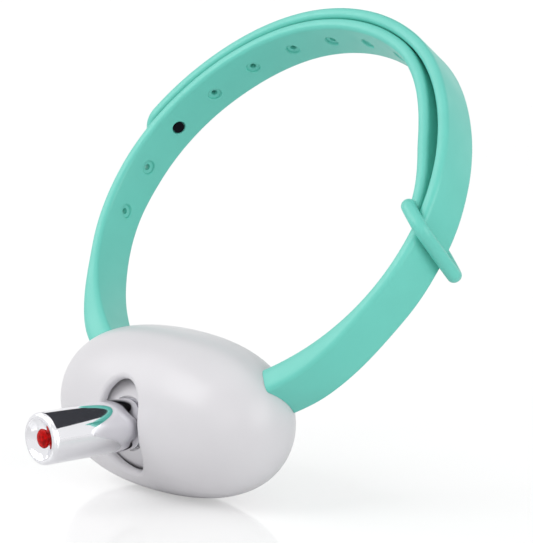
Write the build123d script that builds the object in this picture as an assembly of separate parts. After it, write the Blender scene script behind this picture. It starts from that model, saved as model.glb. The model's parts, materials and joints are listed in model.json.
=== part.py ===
from build123d import *
import math
import os

# A laser toy on a pet's neck strap: an egg-shaped housing with a swinging laser barrel,
# on a silicone strap of two bands that snap together.
# Millimetres. X runs along the housing, the barrel points along -Y, Z is up.
# The strap's loop leans back from the housing, as the toy stands on a table.

# Housing
HOUSING_LENGTH = 54.8
HOUSING_HEIGHT = 30.4
HOUSING_DEPTH = 27.4
HOUSING_FULLNESS = 0.667
HOUSING_WALL = 1.6
PARTING_PLANE = 6.5
COVER_LIP_REACH = 1.2
COVER_LIP_ROOT = 1.5
COVER_LIP_WALL = 1.0
SCREW_X = 15.6
SCREW_Z = 2.6
SCREW_RADIUS = 0.8
SCREW_HEAD_RADIUS = 1.5
SCREW_HEAD_HEIGHT = 0.9
SCREW_HEAD_SEAT = 9.0
SCREW_LENGTH = 6.6
DRIVE_LENGTH = 1.8
DRIVE_WIDTH = 0.3
DRIVE_DEPTH = 0.4
POST_RADIUS = 2.0
POST_FRONT = 1.4
POST_WEB = 1.2

# Strap
LOOP_LEAN = 33.7
LOOP_RISE = 42.2
LOOP_HALF_WIDTH = 40.1
LOOP_HALF_HEIGHT = 37.0
SHOULDER_DEPTH = 0.4
SHOULDER_ANGLE = 138.0
SHOULDER_SPREAD = 36.0
STRAP_WIDTH = 9.5
STRAP_THICKNESS = 2.35
STRAP_EDGE_RADIUS = 0.95
LAYER_GAP = 0.15
ROOT_THICKNESS = 5.2
ROOT_STARTS_BELOW = 20.0
ROOT_FULL_BELOW = 50.0
ROOT_SINK = 7.0
TUCK_DEPTH = 2.6
TUCK_ANGLE = 62.0
TUCK_SPREAD = 42.0
RETURN_DEPTH = 1.5
RETURN_ANGLE = 24.0
RETURN_SPREAD = 24.0
EASE_DEPTH = 0.7
EASE_ANGLE = 60.0
EASE_SPREAD = 40.0
LANDING_DEPTH = 0.4
LANDING_ANGLE = -20.0
LANDING_SPREAD = 30.0
BAND_STEP = 9.0
HOLE_PITCH = 10.0
HOLE_COUNT = 11
HOLES_BEFORE_STUD = 2
HOLE_RADIUS = 0.6
COUNTERBORE_RADIUS = 1.3
COUNTERBORE_DEPTH = 0.5
TONGUE_WIDTH = 6.0
TONGUE_THICKNESS = 2.4
TONGUE_SINK = 4.0
ANCHOR_RADIUS = 1.6
ANCHOR_LENGTH = 7.2
ANCHOR_DEPTH = 4.6

# Keeper ring
RING_ANGLE = -2.5
RING_RISE = 2.0
RING_FALL_OUT = 0.77
RING_RISE_FRONT = 0.23
RING_SET_IN = 1.2
RING_SNUG = 0.1
RING_SLACK = 1.85
RING_HALF_WIDTH = 1.3
RING_HALF_THICKNESS = 1.1
RING_CORNER_RADIUS = 2.2

# Snap stud
STUD_ANGLE = 157.5
STUD_RADIUS = 0.5
STUD_HEAD_RADIUS = 1.15
STUD_SINK = 0.4
CAP_RADIUS = 2.2
CAP_HEIGHT = 0.9
CAP_ROUNDING = 0.3
BOSS_RADIUS = 3.2
BOSS_HEIGHT = 0.8
TIP_REACH = 5.2

# Laser barrel and what it carries
PIVOT_DROP = 1.0
BARREL_RADIUS = 4.7
BARREL_REACH = 31.0
BARREL_TAIL = 4.6
BARREL_WALL = 0.6
BARREL_RIM_RADIUS = 0.9
DISH_RADIUS = 3.75
DISH_DEPTH = 1.1
DISH_HOLLOW = 0.3
LENS_RADIUS = 1.75
LENS_THICKNESS = 1.0
LENS_DOME = 0.5
MODULE_LENGTH = 11.0
MODULE_NECK_LENGTH = 1.2
MODULE_NECK_STEP = 0.8
EMITTER_RADIUS = 1.2
EMITTER_DEPTH = 3.0
DRIVER_THICKNESS = 0.8
DRIVER_CHIP = 1.6
DRIVER_CHIP_HEIGHT = 0.7

# Swinging cradle
SLOT_HALF_WIDTH = 5.2
SLOT_HALF_HEIGHT = 8.5
SLOT_DROP = 1.3
SLOT_DEPTH = 6.0
SLOT_LIP_RADIUS = 0.8
SWING_UP = 12.0
SWING_DOWN = 15.0
SHIELD_OVERLAP = 3.0
CRADLE_RADIUS = 11.6
CRADLE_WALL = 1.5
CRADLE_HALF_WIDTH = 6.5
COLLAR_RADIUS = 5.5
COLLAR_GROOVE = 0.35
COLLAR_GROOVE_DEPTH = 1.4
JOURNAL_RADIUS = 1.2
HUB_RADIUS = 2.8
BEARING_START = 9.0
BEARING_WIDTH = 2.0
BEARING_HALF_HEIGHT = 3.0
BEARING_CAP_DEPTH = 2.8
BEARING_CAP_ROUNDING = 1.2
PEG_RADIUS = 0.45
PEG_LENGTH = 1.6
PEG_INSET = 0.9

# Gear train
MODULE = 0.4
SECTOR_TEETH = 25
PINION_TEETH = 8
SECTOR_HALF_ANGLE = 40.0
PINION_BEARING = -62.0
GEAR_WIDTH = 2.2
TOOTH_HEIGHT = 0.36
TOOTH_DEPTH = 0.48
BACKLASH_SHARE = 0.92
MESH_GAP = 0.02
SHAFT_RADIUS = 0.5
SHAFT_DEPTH = 3.0
GEARBOX_RADIUS = 2.6
GEARBOX_LENGTH = 4.0
MOTOR_RADIUS = 2.4
MOTOR_LENGTH = 4.5
MOTOR_STANDOFF = 0.6
BRACKET_WALL = 0.9
BRACKET_WIDTH = 1.8
BRACKET_FOOT = 4.6

# Electronics and closures
BOARD_LEFT = -5.8
BOARD_RIGHT = 13.0
BOARD_HALF_HEIGHT = 6.0
BOARD_CORNER_RADIUS = 2.2
BOARD_FRONT = 7.4
BOARD_THICKNESS = 0.8
BOARD_SCREW_INSET = 2.3
BOARD_SCREW_RADIUS = 0.5
BOARD_SCREW_HEAD_RADIUS = 1.1
BOARD_SCREW_HEAD_HEIGHT = 0.6
BOARD_SCREW_DEPTH = 1.8
BOARD_POST_RADIUS = 1.6
CHIP_X = 6.3
CHIP_SIZE = 4.6
CHIP_HEIGHT = 1.0
BATTERY_WIDTH = 7.0
BATTERY_HEIGHT = 11.0
BATTERY_DEPTH = 8.0
BATTERY_FRONT = -7.0
BATTERY_ROUNDING = 1.6
BUTTON_RADIUS = 2.3
BUTTON_TRAVEL = 0.4
BUTTON_X = 3.0
BUTTON_Z = 3.6
BUTTON_TOP = 13.6
BUTTON_ROUNDING = 0.5
FLANGE_WIDTH = 0.5
FLANGE_THICKNESS = 0.6
SWITCH_SIZE = 3.6
SWITCH_HEIGHT = 1.1
PLUNGER_RADIUS = 0.9
PLUNGER_HEIGHT = 0.3
SOCKET_X = 4.6
SOCKET_Z = -4.0
SOCKET_WIDTH = 7.4
SOCKET_HEIGHT = 2.7
SOCKET_DEPTH = 3.0
SOCKET_WALL = 0.4
SOCKET_ROUNDING = 0.9
SOCKET_TONGUE_WIDTH = 4.4
SOCKET_TONGUE_HEIGHT = 0.6
PORT_MARGIN = 0.4
PORT_ROUNDING = 1.2

# Clearances
RUNNING = 0.05
SEAT = 0.05
LOOSE = 0.3
HALVES_GAP = 0.1

FAR = HOUSING_LENGTH
LEAN = math.radians(LOOP_LEAN)
LOOP_PLANE = Plane(
    origin=(0, LOOP_RISE * math.sin(LEAN), LOOP_RISE * math.cos(LEAN)),
    x_dir=(1, 0, 0),
    z_dir=(0, -math.cos(LEAN), math.sin(LEAN)),
)
OUTER_FACE = 2 * STRAP_THICKNESS + LAYER_GAP
PIVOT = (0, 0, -PIVOT_DROP)
FRONT_END = PARTING_PLANE - COVER_LIP_REACH - HALVES_GAP
BEARING_END = BEARING_START + BEARING_WIDTH
SLOT_FLOOR = SLOT_DEPTH - HOUSING_DEPTH / 2
SLOT_REACH = SLOT_HALF_HEIGHT + abs(SLOT_DROP - PIVOT_DROP)
SLOT_HALF_ANGLE = math.degrees(math.asin(SLOT_REACH / CRADLE_RADIUS))
SHIELD_HALF_ANGLE = SLOT_HALF_ANGLE + max(SWING_UP, SWING_DOWN) + SHIELD_OVERLAP
SECTOR_PITCH_RADIUS = MODULE * SECTOR_TEETH / 2
PINION_PITCH_RADIUS = MODULE * PINION_TEETH / 2
GEAR_DISTANCE = SECTOR_PITCH_RADIUS + PINION_PITCH_RADIUS + MESH_GAP
PINION_Y = GEAR_DISTANCE * math.cos(math.radians(PINION_BEARING))
PINION_Z = -PIVOT_DROP + GEAR_DISTANCE * math.sin(math.radians(PINION_BEARING))
GEAR_START = -CRADLE_HALF_WIDTH - GEAR_WIDTH
MOTOR_FACE = GEAR_START - MOTOR_STANDOFF
DISH_FLOOR = BARREL_REACH - DISH_DEPTH
LENS_BACK = -DISH_FLOOR + LENS_THICKNESS
MODULE_RADIUS = BARREL_RADIUS - BARREL_WALL - RUNNING
MODULE_FRONT = LENS_BACK + SEAT
BOARD_BACK = BOARD_FRONT + BOARD_THICKNESS
BOARD_SCREWS_X = (BOARD_LEFT + BOARD_SCREW_INSET, BOARD_RIGHT - BOARD_SCREW_INSET)
SWITCH_BACK = BOARD_BACK + SWITCH_HEIGHT + PLUNGER_HEIGHT


def box_between(low, high):
    """Box from its lowest to its highest corner."""
    size = [high[i] - low[i] for i in range(3)]
    middle = [(high[i] + low[i]) / 2 for i in range(3)]
    return Pos(*middle) * Box(*size)


def rod_x(radius, x_from, x_to, y=0.0, z=0.0):
    """Cylinder along X."""
    turned = Rot(0, 90, 0) * Cylinder(radius, x_to - x_from)
    return Pos((x_from + x_to) / 2, y, z) * turned


def rod_y(radius, y_from, y_to, x=0.0, z=0.0):
    """Cylinder along Y."""
    turned = Rot(90, 0, 0) * Cylinder(radius, y_to - y_from)
    return Pos(x, (y_from + y_to) / 2, z) * turned


def across_x(x, y, z, angle):
    """Place with its normal along X and its own X axis turned from +Y."""
    return Plane(origin=(x, y, z), x_dir=(0, 1, 0), z_dir=(1, 0, 0)).location * Rot(0, 0, angle)


def wedge(radius, half_angle):
    """Face that opens about its X axis and is wider than the radius."""
    turn = math.radians(half_angle)
    reach = 2 * radius
    x, y = reach * math.cos(turn), reach * math.sin(turn)
    return make_face(Polyline((0, 0), (x, y), (reach, 0), (x, -y), close=True))


def smooth_step(value):
    """Rises from 0 to 1 with a level start and end."""
    share = min(max(value, 0.0), 1.0)
    return share * share * (3 - 2 * share)


def egg(inset):
    """Solid egg that lies a given distance inside the housing's outside."""
    long = HOUSING_LENGTH / 2 - inset
    high = HOUSING_HEIGHT / 2 - inset
    deep = HOUSING_DEPTH / 2 - inset
    full = HOUSING_FULLNESS
    right = Bezier((long, 0), (long, full * high), (full * long, high), (0, high))
    left = Bezier((0, high), (-full * long, high), (-long, full * high), (-long, 0))
    profile = make_face([right, left, Line((-long, 0), (long, 0))])
    return scale(revolve(profile, Axis.X, 360), by=(1, deep / high, 1)).solid()


OUTER_EGG = egg(0)
INNER_EGG = egg(HOUSING_WALL)
WALL_MIDDLE = egg(HOUSING_WALL / 2)


# The strap's loop, in its own plane: angle 0 is the right side, 90 the top
def loop_radius(angle):
    """Distance from the loop's centre to the neck side, flattened at the left shoulder."""
    turn = math.radians(angle)
    across = LOOP_HALF_HEIGHT * math.cos(turn)
    upward = LOOP_HALF_WIDTH * math.sin(turn)
    flattened = SHOULDER_DEPTH * smooth_step(1 - abs(angle - SHOULDER_ANGLE) / SHOULDER_SPREAD)
    return LOOP_HALF_WIDTH * LOOP_HALF_HEIGHT / math.hypot(across, upward) - flattened


def strap_thickness(angle):
    """Thickness of a band, which grows towards its root on the housing."""
    below = -angle if angle < 90 else angle - 180
    grown = smooth_step((below - ROOT_STARTS_BELOW) / (ROOT_FULL_BELOW - ROOT_STARTS_BELOW))
    return STRAP_THICKNESS + (ROOT_THICKNESS - STRAP_THICKNESS) * grown


def inner_band_radius(angle):
    """Neck side of the inner band, which tucks inward and returns at the keeper ring."""
    tucked = TUCK_DEPTH * smooth_step((TUCK_ANGLE - angle) / TUCK_SPREAD)
    returned = RETURN_DEPTH * smooth_step((RETURN_ANGLE - angle) / RETURN_SPREAD)
    return loop_radius(angle) - tucked + returned


def outer_band_radius(angle):
    """Neck side of the outer band, which comes down to the loop at its root."""
    eased = EASE_DEPTH * smooth_step((EASE_ANGLE - angle) / EASE_SPREAD)
    landed = LANDING_DEPTH * smooth_step((LANDING_ANGLE - angle) / LANDING_SPREAD)
    return loop_radius(angle) + STRAP_THICKNESS + LAYER_GAP - eased - landed


def loop_point(radius_at, angle, lift=0.0):
    """Point of a band in the loop's plane, moved out by lift along the normal."""
    turn = math.radians(angle)
    step = 0.5
    radius = radius_at(angle)
    slope = (radius_at(angle + step) - radius_at(angle - step)) / math.radians(2 * step)
    normal = turn + math.atan2(-slope, radius)
    x = radius * math.cos(turn) + lift * math.cos(normal)
    y = radius * math.sin(turn) + lift * math.sin(normal)
    return (x, y)


def angle_after(radius_at, start, distance):
    """Angle reached from start by going a signed distance along a band."""
    angle = start
    left = abs(distance)
    step = math.copysign(0.1, distance)
    here = loop_point(radius_at, angle)
    while left > 0:
        there = loop_point(radius_at, angle + step)
        left -= math.dist(here, there)
        angle += step
        here = there
    return angle


def root_angle(radius_at, side):
    """Angle at which a band's middle line enters the housing."""
    start = -ROOT_STARTS_BELOW if side > 0 else 180 + ROOT_STARTS_BELOW
    for i in range(280):
        angle = start - side * i / 4
        x, y = loop_point(radius_at, angle, strap_thickness(angle) / 2)
        if OUTER_EGG.is_inside(LOOP_PLANE.from_local_coords((x, y, 0))):
            break
    return angle


def radial_frame(radius_at, angle, lift=0.0):
    """Place on a band with its normal outward and its X axis across the strap."""
    x, y = loop_point(radius_at, angle, lift)
    foot = loop_point(radius_at, angle, lift - 1)
    outward = (x - foot[0], y - foot[1], 0)
    return LOOP_PLANE * Plane(origin=(x, y, 0), x_dir=(0, 0, 1), z_dir=outward).location


def band(radius_at, angle_from, angle_to):
    """One strap band, flat from front to back, over a range of angles."""
    count = max(4, round(abs(angle_to - angle_from) / BAND_STEP))
    angles = [angle_from + (angle_to - angle_from) * i / count for i in range(count + 1)]
    near = [loop_point(radius_at, a) for a in angles]
    far = [loop_point(radius_at, a, strap_thickness(a)) for a in angles]
    outline = [Spline(*near), Line(near[-1], far[-1]), Spline(*far[::-1]), Line(far[0], near[0])]
    return extrude(make_face(outline), STRAP_WIDTH / 2, both=True)


def rounded_along(body):
    """Rounds the four long edges of a band."""
    edges = [edge for edge in body.edges() if edge.length > 4 * STRAP_WIDTH]
    return fillet(edges, STRAP_EDGE_RADIUS)


def root_cut(body):
    """Lets a band end on the housing's surface."""
    pieces = (LOOP_PLANE * body - egg(-SEAT)).solids()
    return max(pieces, key=lambda solid: solid.volume)


def tongue_place(side):
    """Place where a root enters the housing, with its X axis pointing inward."""
    radius_at = outer_band_radius if side > 0 else inner_band_radius
    angle = root_angle(radius_at, side)
    x, y = loop_point(radius_at, angle, strap_thickness(angle) / 2)
    ahead = loop_point(radius_at, angle - side, strap_thickness(angle) / 2)
    along = math.degrees(math.atan2(ahead[1] - y, ahead[0] - x))
    return LOOP_PLANE * Location((x, y, 0), (0, 0, along))


def tongue(side):
    """Flat tongue that goes through the housing's wall, and its anchor bar."""
    reach = TONGUE_SINK + ANCHOR_DEPTH
    flat = Pos(reach / 2 - TONGUE_SINK, 0, 0) * Box(reach, TONGUE_THICKNESS, TONGUE_WIDTH)
    bar = Pos(ANCHOR_DEPTH, 0, 0) * Cylinder(ANCHOR_RADIUS, ANCHOR_LENGTH)
    return tongue_place(side) * (flat + bar)


def tongue_room(side):
    """Slot through the wall for a tongue, and the room for its anchor bar."""
    reach = 2 * ANCHOR_DEPTH + ANCHOR_RADIUS + LOOSE
    height = TONGUE_THICKNESS + 2 * SEAT
    width = TONGUE_WIDTH + 2 * SEAT
    slot = Pos(ANCHOR_DEPTH - reach / 2 + ANCHOR_RADIUS, 0, 0) * Box(reach, height, width)
    room = Pos(ANCHOR_DEPTH, 0, 0) * Cylinder(ANCHOR_RADIUS + LOOSE, ANCHOR_LENGTH + 2 * LOOSE)
    return tongue_place(side) * (slot + room)


def ring_point(outward, forward):
    """Point of the ring's slanted plane, from the middle of the inner band's end."""
    x, y = loop_point(inner_band_radius, RING_ANGLE, STRAP_THICKNESS / 2)
    rise = RING_RISE - RING_FALL_OUT * outward + RING_RISE_FRONT * forward
    return Vector(x + outward, y + rise, forward)


def ring_plane():
    """Slanted plane of the keeper ring, with its normal up along the band."""
    return Plane(origin=ring_point(0, 0), z_dir=(RING_FALL_OUT, 1, -RING_RISE_FRONT))


def keeper_ring():
    """Oval-section loop on the end of the inner band, snug in front of the outer band."""
    between = outer_band_radius(RING_ANGLE) - inner_band_radius(RING_ANGLE)
    outer = between + STRAP_THICKNESS / 2 + RING_SNUG + RING_HALF_THICKNESS
    front = STRAP_WIDTH / 2 + RING_SNUG + RING_HALF_THICKNESS
    back = -front - RING_SLACK
    corners = [(-RING_SET_IN, front), (outer, front), (outer, back), (-RING_SET_IN, back)]
    outline = make_face(Polyline(*[ring_point(*corner) for corner in corners], close=True))
    path = fillet(outline.vertices(), RING_CORNER_RADIUS).wire()
    place = Plane(origin=path @ 0, x_dir=ring_plane().z_dir, z_dir=path % 0)
    return sweep(place * Ellipse(RING_HALF_WIDTH, RING_HALF_THICKNESS), path)


def strap_inner():
    """Band from the housing's left end, with the holes and the keeper ring."""
    overrun = STRAP_THICKNESS * RING_FALL_OUT + STRAP_WIDTH / 2 * RING_RISE_FRONT
    ring_end = angle_after(inner_band_radius, RING_ANGLE, -overrun)
    root_end = angle_after(inner_band_radius, root_angle(inner_band_radius, -1), ROOT_SINK)
    body = rounded_along(band(inner_band_radius, ring_end, root_end))
    cut = 2 * STRAP_WIDTH
    body -= ring_plane() * Pos(0, 0, -cut / 2) * Box(cut, cut, cut)
    body = root_cut(body + keeper_ring())
    first = angle_after(inner_band_radius, STUD_ANGLE, HOLES_BEFORE_STUD * HOLE_PITCH)
    for i in range(HOLE_COUNT):
        angle = angle_after(inner_band_radius, first, -i * HOLE_PITCH)
        place = radial_frame(inner_band_radius, angle)
        body -= place * Cylinder(HOLE_RADIUS, 3 * STRAP_THICKNESS)
        body -= place * Cylinder(COUNTERBORE_RADIUS, 2 * COUNTERBORE_DEPTH)
    return body + tongue(-1)


def stud_place(lift):
    """Place on the snap stud's axis, a distance out from the neck side."""
    return radial_frame(inner_band_radius, STUD_ANGLE, lift)


def strap_outer():
    """Band from the housing's right end, with the boss for the stud at its tip."""
    tip = angle_after(outer_band_radius, STUD_ANGLE, TIP_REACH)
    root_end = angle_after(outer_band_radius, root_angle(outer_band_radius, 1), -ROOT_SINK)
    body = band(outer_band_radius, root_end, tip)
    tip_point = loop_point(outer_band_radius, tip, STRAP_THICKNESS / 2)
    corners = [
        edge
        for edge in body.edges().filter_by(lambda e: e.length < 2 * STRAP_THICKNESS)
        if math.dist(tuple(edge.center())[:2], tip_point) < STRAP_THICKNESS / 2
    ]
    body = fillet(corners, STRAP_WIDTH / 2 - STRAP_EDGE_RADIUS / 2)
    body = root_cut(rounded_along(body))
    body += stud_place(OUTER_FACE) * Cylinder(BOSS_RADIUS, 2 * BOSS_HEIGHT)
    body -= stud_place(OUTER_FACE + BOSS_HEIGHT) * Cylinder(CAP_RADIUS + SEAT, 2 * BOSS_HEIGHT)
    body -= stud_place(OUTER_FACE) * Cylinder(STUD_RADIUS + SEAT, 3 * STRAP_THICKNESS)
    return body + tongue(1)


def snap_stud():
    """Post through both bands, with its head in the inner band's counterbore."""
    height = COUNTERBORE_DEPTH - SEAT
    head = stud_place(COUNTERBORE_DEPTH / 2) * Cylinder(STUD_HEAD_RADIUS, height)
    end = OUTER_FACE + STUD_SINK
    reach = end - COUNTERBORE_DEPTH / 2
    return head + stud_place(end - reach / 2) * Cylinder(STUD_RADIUS, reach)


def snap_cap():
    """Button on the outside of the strap, over the end of the post."""
    disc = Pos(0, 0, CAP_HEIGHT / 2) * Cylinder(CAP_RADIUS, CAP_HEIGHT)
    disc = fillet(disc.edges().filter_by(GeomType.CIRCLE).sort_by(Axis.Z)[-1:], CAP_ROUNDING)
    post_room = Cylinder(STUD_RADIUS + SEAT, 2 * STUD_SINK)
    return stud_place(OUTER_FACE + SEAT) * (disc - post_room)


def slot_cutter():
    """Upright slot through the front of the housing."""
    between = 2 * (SLOT_HALF_HEIGHT - SLOT_HALF_WIDTH)
    plane = Plane(origin=(0, SLOT_FLOOR, -SLOT_DROP), x_dir=(1, 0, 0), z_dir=(0, -1, 0))
    outline = SlotCenterToCenter(between, 2 * SLOT_HALF_WIDTH, rotation=90)
    return extrude(plane * outline, 2 * SLOT_DEPTH)


def bearing_block(side, y_from, y_to):
    """Block that is as wide and high as a bearing."""
    low = (BEARING_START, y_from, -PIVOT_DROP - BEARING_HALF_HEIGHT)
    high = (BEARING_END, y_to, -PIVOT_DROP + BEARING_HALF_HEIGHT)
    if side < 0:
        low, high = (-BEARING_END, low[1], low[2]), (-BEARING_START, high[1], high[2])
    return box_between(low, high)


def bearing_pegs(side, radius, y_from, y_to):
    """The two pegs of a bearing, or the holes for them."""
    x = side * (BEARING_START + BEARING_END) / 2
    offset = BEARING_HALF_HEIGHT - PEG_INSET
    return [rod_y(radius, y_from, y_to, x, -PIVOT_DROP + sign * offset) for sign in (-1, 1)]


def journal_bore():
    """Bore of both bearings."""
    return rod_x(JOURNAL_RADIUS + RUNNING, -BEARING_END - 1, BEARING_END + 1, 0, -PIVOT_DROP)


def journal_caps():
    """The two caps that close the bearings from behind."""
    caps = []
    for side in (-1, 1):
        cap = bearing_block(side, 0, BEARING_CAP_DEPTH)
        cap = fillet(cap.edges().filter_by(Axis.X).sort_by(Axis.Y)[-2:], BEARING_CAP_ROUNDING)
        cap -= journal_bore()
        for hole in bearing_pegs(side, PEG_RADIUS + SEAT, -1, PEG_LENGTH + SEAT):
            cap -= hole
        caps.append(cap)
    return caps


def screw_post(side):
    """Post under a housing screw, hung from the top wall by a web."""
    x = side * SCREW_X
    post = rod_y(POST_RADIUS, POST_FRONT, FRONT_END, x, SCREW_Z)
    low = (x - POST_WEB / 2, POST_FRONT, SCREW_Z)
    post += box_between(low, (x + POST_WEB / 2, FRONT_END, HOUSING_HEIGHT / 2))
    return post - rod_y(SCREW_RADIUS, SCREW_HEAD_SEAT - SCREW_LENGTH - SEAT, FAR, x, SCREW_Z)


def housing_front():
    """Front shell with its slot, bearing ribs, screw posts and strap slots."""
    shell = OUTER_EGG & box_between((-FAR, -FAR, -FAR), (FAR, PARTING_PLANE, FAR))
    shell -= slot_cutter()
    lips = [
        edge
        for edge in shell.edges().filter_by(GeomType.LINE, reverse=True)
        if abs(edge.center().X) <= SLOT_HALF_WIDTH
        and edge.center().Y < SLOT_FLOOR - SLOT_LIP_RADIUS
    ]
    shell = fillet(lips, SLOT_LIP_RADIUS) - INNER_EGG
    for side in (-1, 1):
        shell += bearing_block(side, -HOUSING_DEPTH / 2, 0) & WALL_MIDDLE
        for peg in bearing_pegs(side, PEG_RADIUS, -PEG_LENGTH, PEG_LENGTH):
            shell += peg
        shell += screw_post(side) & WALL_MIDDLE
        shell -= tongue_room(side)
    return shell - journal_bore()


def housing_back():
    """Back cover with its lip, screw posts, board posts, port and button hole."""
    cover = (OUTER_EGG - INNER_EGG) & box_between((-FAR, PARTING_PLANE, -FAR), (FAR, FAR, FAR))
    lip_inside = egg(HOUSING_WALL + COVER_LIP_WALL)
    lip_start = PARTING_PLANE - COVER_LIP_REACH
    lip_end = PARTING_PLANE + COVER_LIP_ROOT
    lip_space = box_between((-FAR, lip_start, -FAR), (FAR, lip_end, FAR))
    root_space = box_between((-FAR, PARTING_PLANE, -FAR), (FAR, lip_end, FAR))
    cover += (WALL_MIDDLE - lip_inside) & root_space
    cover += (egg(HOUSING_WALL + SEAT) - lip_inside) & lip_space
    for side in (-1, 1):
        x = side * SCREW_X
        cover += rod_y(POST_RADIUS, PARTING_PLANE - COVER_LIP_REACH, FAR, x, SCREW_Z) & WALL_MIDDLE
        cover -= rod_y(SCREW_RADIUS + SEAT, 0, FAR, x, SCREW_Z)
        cover -= rod_y(SCREW_HEAD_RADIUS + SEAT, SCREW_HEAD_SEAT, FAR, x, SCREW_Z)
        cover -= tongue_room(side)
    for x in BOARD_SCREWS_X:
        cover += rod_y(BOARD_POST_RADIUS, BOARD_BACK, FAR, x, 0) & WALL_MIDDLE
        cover -= rod_y(BOARD_SCREW_RADIUS, 0, BOARD_BACK + BOARD_SCREW_DEPTH + SEAT, x, 0)
    cover -= rod_y(BUTTON_RADIUS + SEAT, BOARD_BACK, FAR, BUTTON_X, BUTTON_Z)
    port_size = (SOCKET_WIDTH + 2 * PORT_MARGIN, HOUSING_DEPTH / 2, SOCKET_HEIGHT + 2 * PORT_MARGIN)
    port = Pos(SOCKET_X, BOARD_BACK + port_size[1] / 2, SOCKET_Z) * Box(*port_size)
    return cover - fillet(port.edges().filter_by(Axis.Y), PORT_ROUNDING)


def housing_screws():
    """The two screws that hold the back cover."""
    screws = []
    top = SCREW_HEAD_SEAT + SCREW_HEAD_HEIGHT
    for side in (-1, 1):
        x = side * SCREW_X
        screw = rod_y(SCREW_HEAD_RADIUS, SCREW_HEAD_SEAT, top, x, SCREW_Z)
        screw += rod_y(SCREW_RADIUS - SEAT, SCREW_HEAD_SEAT - SCREW_LENGTH, top, x, SCREW_Z)
        for size in ((DRIVE_LENGTH, DRIVE_WIDTH), (DRIVE_WIDTH, DRIVE_LENGTH)):
            screw -= Pos(x, top, SCREW_Z) * Box(size[0], 2 * DRIVE_DEPTH, size[1])
        screws.append(screw)
    return screws


def swivel_cradle():
    """Curved shield behind the slot, on two cheeks that end in journals."""
    width = CRADLE_HALF_WIDTH
    place = across_x(-width, 0, -PIVOT_DROP, 180)
    body = place * extrude(wedge(CRADLE_RADIUS, SHIELD_HALF_ANGLE), 2 * width)
    body &= rod_x(CRADLE_RADIUS, -width, width, 0, -PIVOT_DROP)
    body += rod_x(HUB_RADIUS, -width, width, 0, -PIVOT_DROP)
    cheek = width - CRADLE_WALL
    body -= rod_x(CRADLE_RADIUS - CRADLE_WALL, -cheek, cheek, 0, -PIVOT_DROP)
    socket = rod_y(COLLAR_RADIUS, -CRADLE_RADIUS, -BARREL_TAIL, 0, -PIVOT_DROP)
    body += socket & rod_x(CRADLE_RADIUS, -width, width, 0, -PIVOT_DROP)
    body -= rod_y(BARREL_RADIUS + SEAT / 2, -BARREL_REACH, 0, 0, -PIVOT_DROP)
    groove_floor = COLLAR_GROOVE_DEPTH - CRADLE_RADIUS
    body -= rod_y(BARREL_RADIUS + COLLAR_GROOVE, -BARREL_REACH, groove_floor, 0, -PIVOT_DROP)
    body += rod_x(JOURNAL_RADIUS, cheek, BEARING_END + LOOSE, 0, -PIVOT_DROP)
    body += rod_x(JOURNAL_RADIUS, -BEARING_END - LOOSE, -cheek, 0, -PIVOT_DROP)
    return body + rod_x(HUB_RADIUS, width, BEARING_START - LOOSE, 0, -PIVOT_DROP)


def laser_barrel():
    """Plated tube with a rounded rim and a dished front face."""
    inner = BARREL_RADIUS - BARREL_WALL
    outside = Polyline(
        (inner, -BARREL_TAIL),
        (BARREL_RADIUS, -BARREL_TAIL),
        (BARREL_RADIUS, -BARREL_REACH),
        (DISH_RADIUS, -BARREL_REACH),
    )
    middle = ((DISH_RADIUS + LENS_RADIUS) / 2, -BARREL_REACH + DISH_DEPTH / 2 + DISH_HOLLOW)
    dish = ThreePointArc((DISH_RADIUS, -BARREL_REACH), middle, (LENS_RADIUS, -DISH_FLOOR))
    inside = Polyline(
        (LENS_RADIUS, -DISH_FLOOR),
        (LENS_RADIUS, LENS_BACK),
        (inner, LENS_BACK),
        (inner, -BARREL_TAIL),
    )
    face = make_face([outside, dish, inside])
    corner = face.vertices().sort_by_distance((BARREL_RADIUS, -BARREL_REACH, 0))[0]
    return Pos(*PIVOT) * revolve(fillet(corner, BARREL_RIM_RADIUS), Axis.Y, 360)


def laser_lens():
    """Red lens in the middle of the dish, domed to the front."""
    radius = LENS_RADIUS - SEAT
    ball = (radius**2 + LENS_DOME**2) / (2 * LENS_DOME)
    front = -DISH_FLOOR - LENS_DOME
    lens = rod_y(radius, front, LENS_BACK) & Pos(0, front + ball, 0) * Sphere(ball)
    return Pos(*PIVOT) * lens


def laser_module():
    """Diode module inside the barrel: a stepped body with an emitter bore."""
    step = MODULE_FRONT + MODULE_LENGTH
    body = rod_y(MODULE_RADIUS, MODULE_FRONT, step)
    body += rod_y(MODULE_RADIUS - MODULE_NECK_STEP, step, step + MODULE_NECK_LENGTH)
    body -= rod_y(EMITTER_RADIUS, MODULE_FRONT, MODULE_FRONT + EMITTER_DEPTH)
    return Pos(*PIVOT) * body


def laser_driver():
    """Small driver board with its chip, on the back of the diode module."""
    front = MODULE_FRONT + MODULE_LENGTH + MODULE_NECK_LENGTH
    back = front + DRIVER_THICKNESS
    disc = rod_y(MODULE_RADIUS - MODULE_NECK_STEP / 2, front, back)
    chip = Pos(0, back + DRIVER_CHIP_HEIGHT / 2, 0) * Box(DRIVER_CHIP, DRIVER_CHIP_HEIGHT, DRIVER_CHIP)
    return Pos(*PIVOT) * (disc + chip)


def gear(teeth, width):
    """Spur gear with straight-flanked teeth, the first one on its X axis."""
    pitch = MODULE * teeth / 2
    root = pitch - TOOTH_DEPTH
    tip = pitch + TOOTH_HEIGHT
    step = 2 * math.pi / teeth
    points = []
    for i in range(teeth):
        for radius, share in ((root, -0.36), (tip, -0.13), (tip, 0.13), (root, 0.36)):
            turn = (i + share * BACKLASH_SHARE) * step
            points.append((radius * math.cos(turn), radius * math.sin(turn)))
    return extrude(make_face(Polyline(*points, close=True)), width)


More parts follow.
